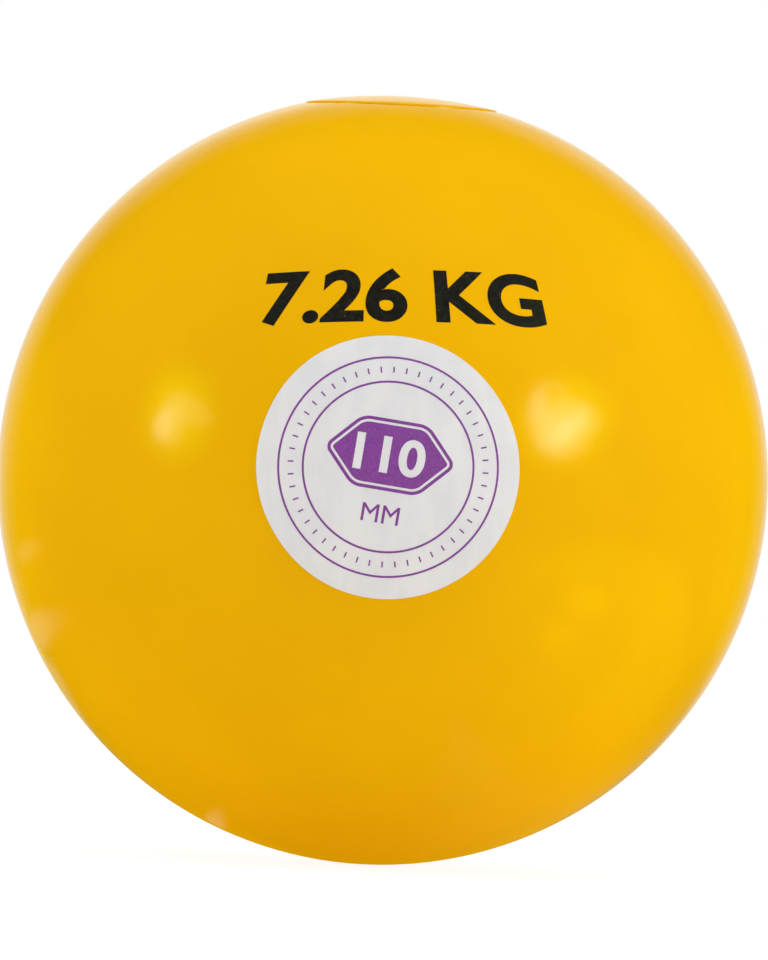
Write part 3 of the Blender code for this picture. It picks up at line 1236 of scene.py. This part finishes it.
worldLight = {
    "level": 1.165,
    "lean": (0.13, 0.10, 0.17),   # how much brighter the room is towards +X, +Y and +Z
    "dimFront": 0.88,             # and how much darker on the camera's side
}


def makeWorld():
    world = bpy.data.worlds.new("studio")
    bpy.context.scene.world = world
    world.use_nodes = True
    world.cycles.sampling_method = "NONE"
    tree = world.node_tree
    tree.nodes.clear()
    camera, mirrored, gloss = rayKinds(tree)
    ray = newNode(tree, "TexCoord").outputs["Generated"]
    lean = combineVectors(tree, "DOT_PRODUCT", ray, worldLight["lean"])
    room = combine(tree, "ADD", lean, worldLight["level"])
    front = combine(tree, "MINIMUM", newNode(tree, "SeparateXYZ", {0: ray}).outputs["Y"], 0)
    dim = combine(tree, "MULTIPLY", combine(tree, "MULTIPLY", front, front), worldLight["dimFront"])
    room = combine(tree, "SUBTRACT", room, dim)
    level = mixValues(tree, gloss, room, mirroredBackdrop(tree, ray))
    level = mixValues(tree, camera, level, 1.0)
    light = newNode(tree, "Background", {"Color": (1, 1, 1, 1), "Strength": level})
    side = combine(tree, "MULTIPLY", mirroredSideGlow(tree, ray), mirrored)
    glow = newNode(tree, "Background", {"Color": (*glowColour, 1), "Strength": side})
    total = newNode(tree, "AddShader", {0: light.outputs[0], 1: glow.outputs[0]})
    newNode(tree, "OutputWorld", {0: total.outputs[0]})


# Soft boxes: degrees right of the camera and up, metres wide and high, tilt in degrees, how
# bright the middle is, and the share of the half width that is as bright as the middle
softBoxes = {
    "right_box": (56.9, 15.7, 0.42, 0.165, 25, 2.1, 0.12),
    "right_fill": (54.5, 15.8, 0.50, 0.395, 16, 1.6, 0.44),
    "right_ear": (47.3, 21.8, 0.363, 0.16, 58, 2.2, 0.12),
    "right_tip": (64.1, 17.9, 0.195, 0.15, -30, 0.6, 0.9),
    "right_foot": (51.3, 14.3, 0.35, 0.28, 30, 1.2, 0.45),
    "right_brow": (55.0, 26.4, 0.177, 0.09, -17, 0.7, 0.2),
    "left_box": (-68.8, 10.4, 0.219, 0.198, -78, 1.8, 0.35),
    "left_fill": (-61.4, 15.1, 0.427, 0.168, -14, 0.6, 0.58),
    "left_glow": (-65.9, 11.4, 0.328, 0.259, -69, 0.9, 0.31),
}
# The glow round each group of boxes, which only the gloss shows
glowBoxes = {
    "left_halo": (-64.8, 13.7, 0.729, 0.639, -39, 3.2, 0.15),
    "right_halo": (56.2, 17.3, 0.894, 0.624, 16, 3.5, 0.2),
}
haloColour = (0.65, 1.0, 0.0)    # greener than the glow from the sides
softBoxDistance = 1.148


def softenBox(lamp, bright, colour):
    lamp.data.use_nodes = True
    tree = lamp.data.node_tree
    tree.nodes.clear()
    spot = newNode(tree, "NewGeometry").outputs["Parametric"]
    fromMiddle = combineVectors(tree, "SUBTRACT", spot, (0.5, 0.5, 0))
    share = combineVectors(tree, "MULTIPLY", fromMiddle, (2, 2, 0))
    strength = remap(tree, combineVectors(tree, "LENGTH", share), bright, 1, 1, 0)
    glow = newNode(tree, "Emission", {"Color": (*colour, 1), "Strength": strength})
    newNode(tree, "OutputLight", {0: glow.outputs[0]})


def placeSoftBoxes(boxes, colour, glossOnly):
    for name, (azimuth, elevation, wide, high, tilt, radiance, bright) in boxes.items():
        place = facing(math.radians(azimuth), math.radians(elevation)) * softBoxDistance
        bpy.ops.object.light_add(type="AREA", location=place)
        lamp = bpy.context.object
        lamp.name = name
        lamp.data.shape = "ELLIPSE"
        lamp.data.size = wide
        lamp.data.size_y = high
        area = math.pi * wide * high / 4
        lamp.data.energy = radiance * math.pi * area    # watts
        lamp.rotation_mode = "QUATERNION"
        toBall = (-place).to_track_quat("-Z", "Y")
        lamp.rotation_quaternion = toBall @ Quaternion((0, 0, 1), math.radians(tilt))
        lamp.visible_camera = False
        lamp.visible_diffuse = not glossOnly
        softenBox(lamp, bright, colour)


placeCamera()
makeFloor()
makeWorld()
placeSoftBoxes(softBoxes, (1, 1, 1), False)
placeSoftBoxes(glowBoxes, haloColour, True)
bpy.context.scene.view_settings.view_transform = "Standard"
print("camera, floor and lights placed")
